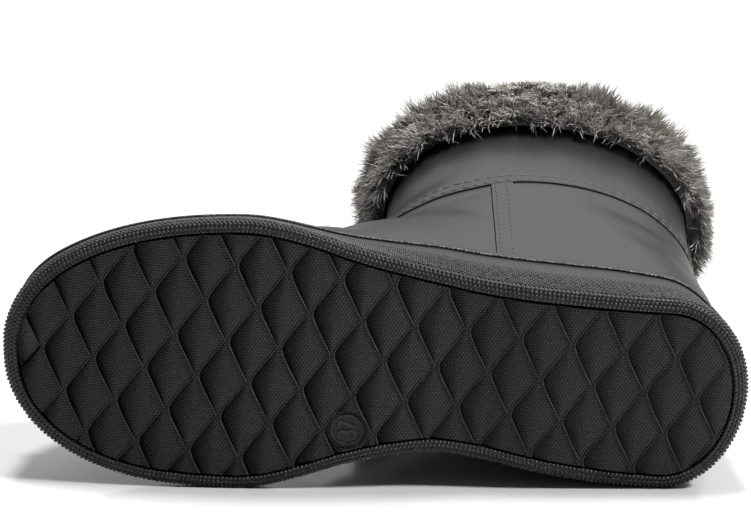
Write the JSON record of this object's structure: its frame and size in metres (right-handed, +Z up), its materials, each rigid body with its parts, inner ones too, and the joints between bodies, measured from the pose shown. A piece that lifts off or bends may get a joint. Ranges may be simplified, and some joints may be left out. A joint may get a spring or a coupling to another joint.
{
  "type": "winter boot",
  "caption": "Left winter boot with moulded cup sole, scale tread, hollow leather upper and fur cuff, lying on its inner side",
  "frame": {"origin": "on the floor under the middle of the boot's box, as it lies on its inner side", "axes": "+Z up. The toe points to -X and the heel to +X, the sole faces -Y and the shaft runs to +Y, the outer side of the foot faces up"},
  "size_m": [0.2662, 0.2136, 0.1025],
  "materials": {
    "sole_rubber": "matt moulded rubber with fine raised dots",
    "tread_rubber": "matt moulded rubber with fine dots",
    "upper_leather": "smooth black leather with fine grain",
    "seam_leather": "smooth black leather seam",
    "insole_fleece": "grey fleece",
    "fur": "mottled grey fur"
  },
  "bodies": {
    "root": {"sole_cup": "sole_rubber", "tread_plate": "tread_rubber", "upper": "upper_leather", "counter": "upper_leather", "shaft": "upper_leather", "front_seam": "seam_leather", "back_seam": "seam_leather", "insole": "insole_fleece", "fur_cuff": "fur"}
  },
  "joints": []
}
